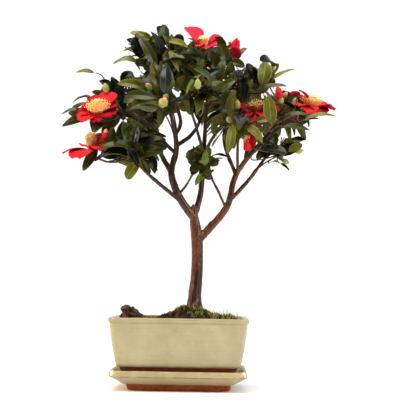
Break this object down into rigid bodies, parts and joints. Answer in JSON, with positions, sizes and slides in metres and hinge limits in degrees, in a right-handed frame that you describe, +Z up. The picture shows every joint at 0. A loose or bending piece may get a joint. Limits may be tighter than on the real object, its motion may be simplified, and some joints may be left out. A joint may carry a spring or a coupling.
{
  "type": "potted bonsai tree",
  "caption": "Flowering camellia bonsai with a slender trunk, spreading boughs and glossy leaves, in a rectangular glazed pot that stands in a matching tray.",
  "frame": {"origin": "middle of the tray's flat underside", "axes": "+Z up along the trunk, -Y to the front that the picture shows, +X to the picture's right along the pot's long side"},
  "size_m": [0.3135, 0.2343, 0.4398],
  "materials": {
    "glaze": "cream glaze over fired clay",
    "soil": "damp dark soil",
    "moss": "matte moss",
    "wood": "weathered wood",
    "bark": "smooth bark",
    "leaf": "glossy leaves"
  },
  "bodies": {
    "root": {"tray": "glaze", "pot": "glaze", "soil": "soil", "moss_collar": "moss", "root_piece": "wood", "trunk": "bark", "bough_left": "bark", "bough_centre": "bark", "bough_right": "bark", "bough_left_outer": "bark", "bough_left_low": "bark", "bough_left_side": "bark", "bough_left_up": "bark", "bough_left_back": "bark", "bough_cross": "bark", "bough_centre_front": "bark", "bough_centre_back": "bark", "bough_right_up": "bark", "bough_right_front": "bark", "bough_right_back": "bark", "bough_right_low": "bark", "bough_twig_left": "bark", "bough_twig_right": "bark", "foliage_left_low": "leaf", "foliage_left_upper": "leaf", "foliage_left": "leaf", "foliage_front_left": "leaf", "foliage_top_left": "leaf", "foliage_back_left": "leaf", "foliage_top_back": "leaf", "foliage_top": "leaf", "foliage_front": "leaf", "foliage_back_right": "leaf", "foliage_right": "leaf", "foliage_right_upper": "leaf", "foliage_front_right": "leaf", "foliage_right_rear": "leaf", "foliage_right_low": "leaf", "foliage_inner_left": "leaf", "foliage_inner_right": "leaf"}
  },
  "joints": []
}
